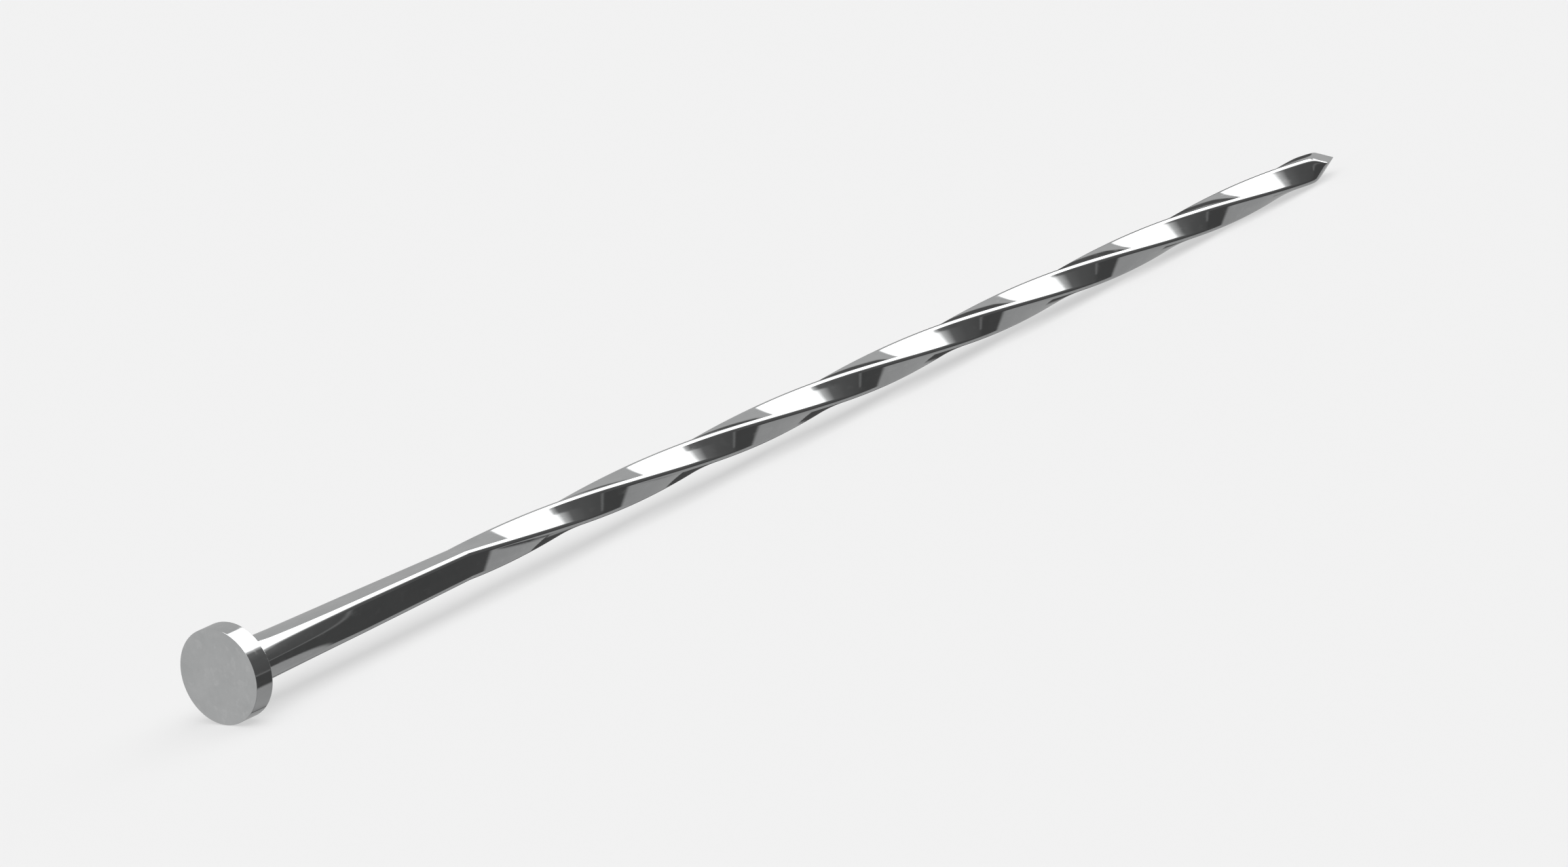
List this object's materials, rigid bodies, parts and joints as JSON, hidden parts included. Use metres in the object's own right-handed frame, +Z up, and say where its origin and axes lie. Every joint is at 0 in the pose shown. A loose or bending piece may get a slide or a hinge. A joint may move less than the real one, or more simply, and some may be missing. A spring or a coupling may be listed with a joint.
{
  "type": "spiral shank nail",
  "caption": "Steel nail with a flat round head, a round neck, a square shank twisted along most of its length and a four-sided point.",
  "frame": {"origin": "centre of the head's flat striking face", "axes": "+X along the nail from the striking face to the point, +Z up, with the flats of the untwisted square bar facing +Y, -Y, +Z and -Z"},
  "size_m": [0.152, 0.0074, 0.0074],
  "materials": {
    "bright_steel": "bright, smooth, mirror-like"
  },
  "bodies": {
    "root": {"nail": "bright_steel"}
  },
  "joints": []
}
